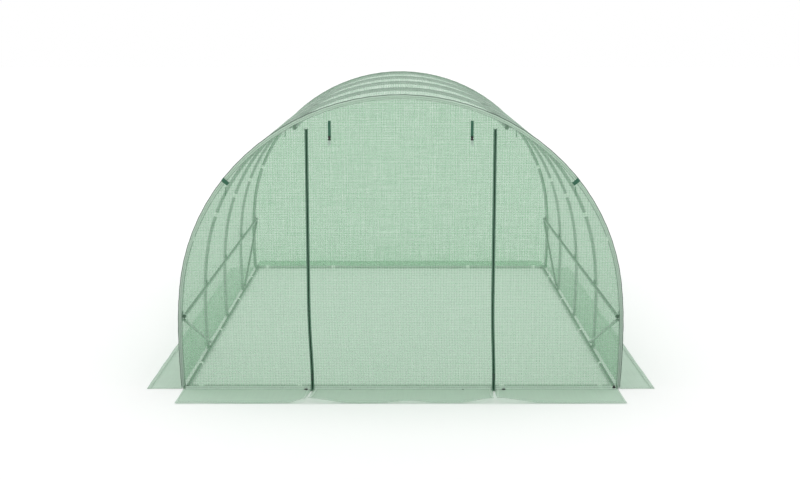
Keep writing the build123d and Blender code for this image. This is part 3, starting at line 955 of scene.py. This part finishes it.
for side in (-1, 1):
    for inset in hem_rows:
        track = upright_line(side * (skirt_run - inset), -wrap_end, wrap_end)
        cover_rows.append((cover, track, hem_top))
    for facing in (-1, 1):
        at = facing * (wrap_end - hem_width * 0.6)
        track = level_line(at, side * (fold_end + 0.01), side * skirt_run)
        cover_rows.append((cover, track, hem_top))
for name, rows, pieces in (
    ("front_stitching", front_rows, front_pieces),
    ("back_stitching", back_rows, back_pieces),
    ("side_stitching", cover_rows, cover_pieces),
):
    pieces.append(beaded(name, rows, Pitch=0.0085, Finish=thread_finish))
for piece in front_pieces + back_pieces + cover_pieces:
    settle(piece)

# Zips: two long coil zips close the door's sides. Each has two woven tapes sewn to the
# cloth, a coil of dark green nylon, and a slider with a pull at the foot.


def webbing_group():
    """Rib height and shade of a woven tape, from its own flat measure in metres."""
    inputs = {"Flat": "Vector", "Rib": 0.0022}
    group, given, ends = node_group("Shader", "webbing_weave", inputs, ("Shade", "Height"))
    flat = add(group, "ShaderNodeSeparateXYZ", given["Flat"]).outputs
    slant = maths("ADD", flat[1], maths("ABSOLUTE", flat[0]))
    turn = maths("DIVIDE", slant, maths("DIVIDE", given["Rib"], tau))
    rib = maths("MULTIPLY_ADD", maths("SINE", turn), 0.5, 0.5)
    cross = maths("DIVIDE", flat[0], maths("DIVIDE", given["Rib"], tau * 1.6))
    warp = maths("MULTIPLY_ADD", maths("SINE", cross), 0.3, rib)
    fibres = cloud(given["Flat"], 500.0)
    shade = maths("MULTIPLY_ADD", fibres, 0.6, maths("MULTIPLY", rib, 0.5))
    wire(ends, Shade=shade, Height=maths("MULTIPLY_ADD", fibres, 0.3, warp))
    return group


webbing_weave = webbing_group()


def webbing(name, dark, light, rib):
    tree, shader, made = finish_of(name, Roughness=0.72, IOR=1.45)
    woven = add(tree, "ShaderNodeGroup", coordinates(tree, "UV"), rib, node_tree=webbing_weave).outputs
    colour = blend(between(woven["Shade"], 0.1, 0.9, 0.0, 1.0), dark, light)
    wire(shader, Base_Color=colour, Normal=bump(woven["Height"], 0.0004))
    return made


zip_tape = webbing("zip_tape", (0.10, 0.235, 0.15, 1), (0.17, 0.32, 0.225, 1), 0.0016)
tree, shader, coil_finish = finish_of("zip_coil", IOR=1.5, Specular_IOR_Level=0.25)
place = coordinates(tree)
colour = blend(cloud(place, 60.0), (0.006, 0.042, 0.016, 1), (0.014, 0.068, 0.030, 1))
roughness = between(cloud(place, 300.0), 0.3, 0.7, 0.3, 0.5)
wire(shader, Base_Color=colour, Roughness=roughness)
zip_foot = wall_fold_end - 0.050
tape_lines = ((0.0030, 0.0016), (0.0042, 0.0024), (0.0110, 0.0020), (0.0117, 0.0004))
core_lines = ((-0.0036, 0.0014), (-0.0032, 0.0020), (0.0, 0.0024), (0.0032, 0.0020), (0.0036, 0.0014))
core_lines = [((way, 0), lift) for way, lift in core_lines]
tooth_half, tooth_pitch, tooth_lift = 0.0018, 0.0032, 0.0030
tape_seam, seam_lift, bartack_lift = 0.0098, 0.0026, 0.0029
teeth_rows, seam_rows, zip_pieces = [], [], []
for side, label in sides:
    zip_middle = side * zip_x
    track = upright_line(zip_middle, zip_foot, zip_top)
    for edge in (-1, 1):
        name = f"zip_tape_{label}_{'outer' if edge == side else 'inner'}"
        lines = [((edge * way, 0), lift) for way, lift in tape_lines]
        zip_pieces.append(strip(name, front, track, lines, zip_tape, edge > 0))
        foot = zip_foot + edge * tooth_pitch / 4
        teeth_track = upright_line(zip_middle + edge * tooth_half, foot, zip_top - 0.004)
        teeth_rows.append((front, teeth_track, tooth_lift))
        seam_track = upright_line(zip_middle + edge * tape_seam, zip_foot, zip_top)
        seam_rows.append((front, seam_track, seam_lift))
    for drop in (0.0, 0.0016, 0.0032):
        seam_track = level_line(zip_top - drop, zip_middle - 0.012, zip_middle + 0.012, 0.004)
        seam_rows.append((front, seam_track, bartack_lift))
    core_track = upright_line(zip_middle, zip_foot, zip_top - 0.003)
    zip_pieces.append(strip(f"zip_core_{label}", front, core_track, core_lines, coil_finish, True))
tooth = {"Pitch": tooth_pitch, "Length": 0.0022, "Width": 0.0046, "Height": 0.0030}
zip_pieces.append(beaded("zip_teeth", teeth_rows, Finish=coil_finish, **tooth))
zip_pieces.append(beaded("zip_stitching", seam_rows, Pitch=0.0075, Finish=thread_finish))


def count_in(pieces, slot, *made):
    """Settles finished pieces, and counts them among those that go with a sheet."""
    for piece in made:
        settle(piece)
        pieces.append(piece)


def pad_ring(centre, half_width, half_depth, roundness=3.0, around=16):
    """A level ring with rounded corners: X across, Y through."""
    angles = np.arange(around) * tau / around
    across = np.sign(np.cos(angles)) * np.abs(np.cos(angles)) ** (2 / roundness)
    through = np.sign(np.sin(angles)) * np.abs(np.sin(angles)) ** (2 / roundness)
    ring = np.stack((across * half_width, through * half_depth, 0 * angles), -1)
    return ring + np.array(centre)


def moulded(name, place, profile, depth_of, material, *ring_shape):
    """A body over level rings, from their heights above a place and their half widths. depth_of
    gives the half depth at a half width."""
    x, y, z = place
    rings = [pad_ring((x, y, z + h), w, depth_of(w), *ring_shape) for h, w in profile]
    return lofted(name, rings, material)


tree, shader, dark_metal = finish_of("dark_metal", Metallic=0.6)
scuffed = cloud(coordinates(tree), 220.0)
colour = blend(scuffed, (0.02, 0.035, 0.028, 1), (0.07, 0.09, 0.08, 1))
wire(shader, Base_Color=colour, Roughness=between(scuffed, 0.3, 0.7, 0.3, 0.5))
slider_profile = ((-0.008, 0.0030), (-0.007, 0.0046), (0.0, 0.0042))
slider_profile += ((0.004, 0.0056), (0.0085, 0.0058), (0.0095, 0.004))
pull_profile = ((0.003, 0.0020), (0.002, 0.0030), (-0.022, 0.0034))
pull_profile += ((-0.030, 0.0046), (-0.034, 0.0040), (-0.0355, 0.002))
slider_height, slider_lift = 0.10, 0.0045
for side, label in sides:
    x, y, z = front(side * zip_x, slider_height, slider_lift)
    slider = moulded(f"zip_slider_{label}", (x, y, z), slider_profile, lambda w: 0.0030, dark_metal)
    top = (x + 0.0006 * side, y - 0.0042, z)
    tab = moulded(f"zip_pull_{label}", top, pull_profile, lambda w: 0.0010, dark_metal)
    count_in(front_pieces, "green_zip", slider, tab)
    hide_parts(f"zip_{label}")
count_in(front_pieces, "green_zip", *zip_pieces)

# Door ties: two straps of green webbing, sewn to the header with a box stitch, that hold
# the rolled door up. Each ends in a black side-release buckle and a short pale tail.
tie_web = webbing("tie_webbing", (0.022, 0.105, 0.058, 1), (0.050, 0.185, 0.110, 1), 0.0026)
tail_web = webbing("tail_webbing", (0.36, 0.52, 0.42, 1), (0.52, 0.66, 0.56, 1), 0.0022)
tree, shader, buckle_black = finish_of("buckle_plastic", IOR=1.46)
place = coordinates(tree)
rubbed = between(cloud(place, 160.0), 0.45, 0.75, 0.0, 1.0)
wire(
    shader,
    Base_Color=blend(rubbed, (0.009, 0.010, 0.010, 1), (0.026, 0.029, 0.028, 1)),
    Roughness=between(rubbed, 0.0, 1.0, 0.4, 0.58),
    Normal=bump(cloud(place, 900.0), 0.0001),
)
tie_low, tie_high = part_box("door_ties")
tie_x = middle("hoop_1_crown").x + (tie_high.x - 0.0095)
buckle_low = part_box("tie_buckles")[0].z


def map_from_front(piece, x):
    """Gives a piece its flat measure: across from x, and by height."""
    layer = piece.data.uv_layers.new(name="flat")
    for loop in piece.data.loops:
        point = piece.data.vertices[loop.vertex_index].co
        layer.data[loop.index].uv = (point.x - x, point.z)


def hanging_strap(name, x, width, thickness, path, material):
    """A flat strap with rounded edges, down a path of heights and distances off the wall."""
    heights, offs = np.transpose(path)
    levels = np.linspace(heights[0], heights[-1], 26)
    off = np.interp(-levels, -heights, offs)
    half, flat_half = width / 2, width / 2 - 0.0008
    section = ((-half, 0.5), (-flat_half, 1), (0, 1), (flat_half, 1), (half, 0.5))
    section += ((flat_half, 0), (0, 0), (-flat_half, 0))
    rings = [[(x + a, -wall_y - o - b * thickness, z) for a, b in section] for z, o in zip(levels, off)]
    made = lofted(name, rings, material)
    map_from_front(made, x)
    return made


tie_top, tie_foot = tie_high.z, tie_low.z
strap_path = [(tie_top, 0.0006), (tie_top - 0.02, 0.0008)]
strap_path += [(tie_foot + 0.04, 0.0022), (tie_foot - 0.004, 0.0030)]
patch_path = [(tie_top - 0.0005, 0.0019), (tie_top - 0.018, 0.0021)]
tail_path = [(buckle_low + 0.003, 0.0030), (buckle_low - 0.014, 0.0045), (buckle_low - 0.033, 0.0020)]
buckle_profile = ((0.0, 0.0092), (0.0012, 0.0104), (0.0070, 0.0104), (0.0090, 0.0094))
buckle_profile += ((0.0115, 0.0066), (0.0135, 0.0062), (0.0155, 0.0066), (0.0180, 0.0094))
buckle_profile += ((0.0200, 0.0104), (0.0258, 0.0104), (0.0270, 0.0092))
rib_profile = ((-0.0014, 0.0070), (-0.0010, 0.0078), (0.0010, 0.0078), (0.0014, 0.0070))
buckle_y, rib_rise = -wall_y - 0.0052, 0.0030
for side, label in sides:
    x = side * tie_x
    strap = hanging_strap(f"door_tie_{label}", x, 0.019, 0.0013, strap_path, tie_web)
    patch = hanging_strap(f"door_tie_patch_{label}", x, 0.0184, 0.0012, patch_path, tie_web)
    tail_x = x + 0.002 * side
    tail = hanging_strap(f"door_tie_tail_{label}", tail_x, 0.017, 0.0012, tail_path, tail_web)
    foot = (x, buckle_y, buckle_low)
    body = moulded(
        f"tie_buckle_{label}", foot, buckle_profile, lambda w: 0.0028 + 0.18 * (w - 0.006), buckle_black
    )
    for h, name in ((0.0045, "bar"), (0.0225, "slot")):
        foot = (x, buckle_y - rib_rise, buckle_low + h)
        rib = moulded(f"tie_buckle_{name}_{label}", foot, rib_profile, lambda w: 0.0008, buckle_black)
        count_in(front_pieces, "black_plastic", rib)
    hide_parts("door_ties")
    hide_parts("tie_buckles")
    count_in(front_pieces, "green_webbing", strap, patch, tail)
    count_in(front_pieces, "black_plastic", body)

# Straps: short lengths of the same webbing, folded over the cover's front edge on the
# haunches and sewn down, with thin tying tapes hanging inside by the hoop.
strap_lean = radians(50.9)
strap_run = arch_arcs[1][4] + arch_radii[1] * (strap_lean - arch_turns[0])
strap_ways = np.r_[
    (-0.0465, -0.0460, -0.030, -0.015),
    np.linspace(0, quarter, 7),
    (quarter + 0.010, quarter + 0.022, quarter + 0.0335, quarter + 0.034),
]
strap_lifts = np.interp(strap_ways, (0.5 * quarter, quarter), (0.0040, 0.0045))
strap_lifts[[0, -1]] -= 0.0012
strap_lines = [((0, -way), lift) for way, lift in zip(strap_ways, strap_lifts)]
strap_half = 0.0135
tapes = (("strap_tape", 1.157, 1.395, 0.062), ("shoulder_tape", 0.757, 1.764, 0.042))
for side, label in sides:
    strap_middle = side * strap_run
    track = level_line(-end_hoop, strap_middle - strap_half, strap_middle + strap_half, 0.003)
    strap = strip(f"hoop_strap_{label}", cover, track, strap_lines, tie_web, True)
    for loop in strap.data.uv_layers["flat"].data:
        loop.uv = (loop.uv[0] - strap_middle, loop.uv[1])
    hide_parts("hoop_straps")
    count_in(front_pieces, "green_webbing", strap)
    for name, x, top, length in tapes:
        rings = []
        for share in np.linspace(0, 1, 9):
            bend = side * (0.004 * share + 0.0012 * sin(share * 9 + side))
            centre = (side * x + bend, -wall_y + 0.0018, top - length * share)
            rings.append(pad_ring(centre, 0.0022, 0.0005))
        tape = lofted(f"{name}_{label}", rings, tie_web)
        map_from_front(tape, side * x)
        count_in(front_pieces, "green_webbing", tape)

# Press studs: black plastic studs through the wall's foot by the door, for pegging it out,
# with smaller ones on the door and one more at the wall's right corner.
stud_profile = ((0.0, 0.010), (0.0015, 0.0125), (0.004, 0.0125), (0.0055, 0.010), (0.0060, 0.005))
for label, x, size in (
    ("left", -0.662, 1.0),
    ("door_left", -0.36, 0.4),
    ("door_right", 0.41, 0.4),
    ("right", 0.689, 1.0),
):
    foot = front(x, wall_fold_end - 0.012, 0.0)
    profile = [(h * min(1.0, size + 0.2), w * size) for h, w in stud_profile]
    stud = moulded(f"foot_stud_{label}", foot, profile, lambda w: w * 0.8, buckle_black, 2.2, 20)
    count_in(front_pieces, "black_plastic", stud)

profile = ((0.0, 0.008), (0.0015, 0.0105), (0.0040, 0.0105), (0.0055, 0.007))
x, y, z = front(1.4575, wall_fold + 0.002, 0.0)
rings = pad_ring((0, 0, 0), 1.0, 1.0, 2.0, 20)
rings = [np.stack((x + rings[:, 0] * w, np.full(20, y - h), z + rings[:, 1] * w), -1) for h, w in profile]
corner_stud = lofted("corner_stud", rings, buckle_black)
count_in(front_pieces, "black_plastic", corner_stud)

# Floor and light: a plain white floor, a white surround, and two wide soft lamps from the
# front, one each side.


def seen_directly(tree):
    """1 for what the camera sees, straight on or in a reflection, and 0 for light on surfaces."""
    path = tree.nodes.new("ShaderNodeLightPath").outputs
    seen = maths("MAXIMUM", path["Is Camera Ray"], path["Is Glossy Ray"])
    return maths("MAXIMUM", seen, path["Is Transmission Ray"])



tree, shader, floor_white = finish_of("floor_white", Base_Color=(0.9, 0.9, 0.9, 1), Roughness=0.9)
lift = add(tree, "ShaderNodeEmission", (1, 1, 1, 1), maths("MULTIPLY", seen_directly(tree), 0.085))
both = add(tree, "ShaderNodeAddShader", shader.outputs[0], lift.outputs[0])
wire(tree.nodes["Material Output"], Surface=both.outputs[0])
mesh = bpy.data.meshes.new("floor")
mesh.from_pydata([(-60, -60, 0), (60, -60, 0), (60, 60, 0), (-60, 60, 0)], [], [(0, 1, 2, 3)])
mesh.materials.append(floor_white)
placed("floor", mesh)

scene = bpy.context.scene
scene.view_settings.view_transform = "Standard"
world = scene.world or bpy.data.worlds.new("studio")
scene.world = world
world.use_nodes = True
tree = world.node_tree
sky = tree.nodes["Background"]
sky.inputs["Color"].default_value = (1, 1, 1, 1)
wire(sky, Strength=maths("MULTIPLY_ADD", seen_directly(tree), 0.18, 0.82))
for side in (-1, 1):
    lamp = bpy.data.lights.new("lamp", "SUN")
    lamp.energy, lamp.angle = 0.46, radians(35)
    toward = Vector((side * 0.42, 0.16, 0.89))
    placed("lamp", lamp).rotation_euler = toward.to_track_quat("Z", "Y").to_euler()

lens = bpy.data.cameras.new("camera")
lens.lens, lens.sensor_width = 51.39, 36.0
camera = placed("camera", lens)
camera.location = (-0.005, -9.489, 2.432)
camera.rotation_euler = (radians(90 - 10.56), 0, 0)
scene.camera = camera
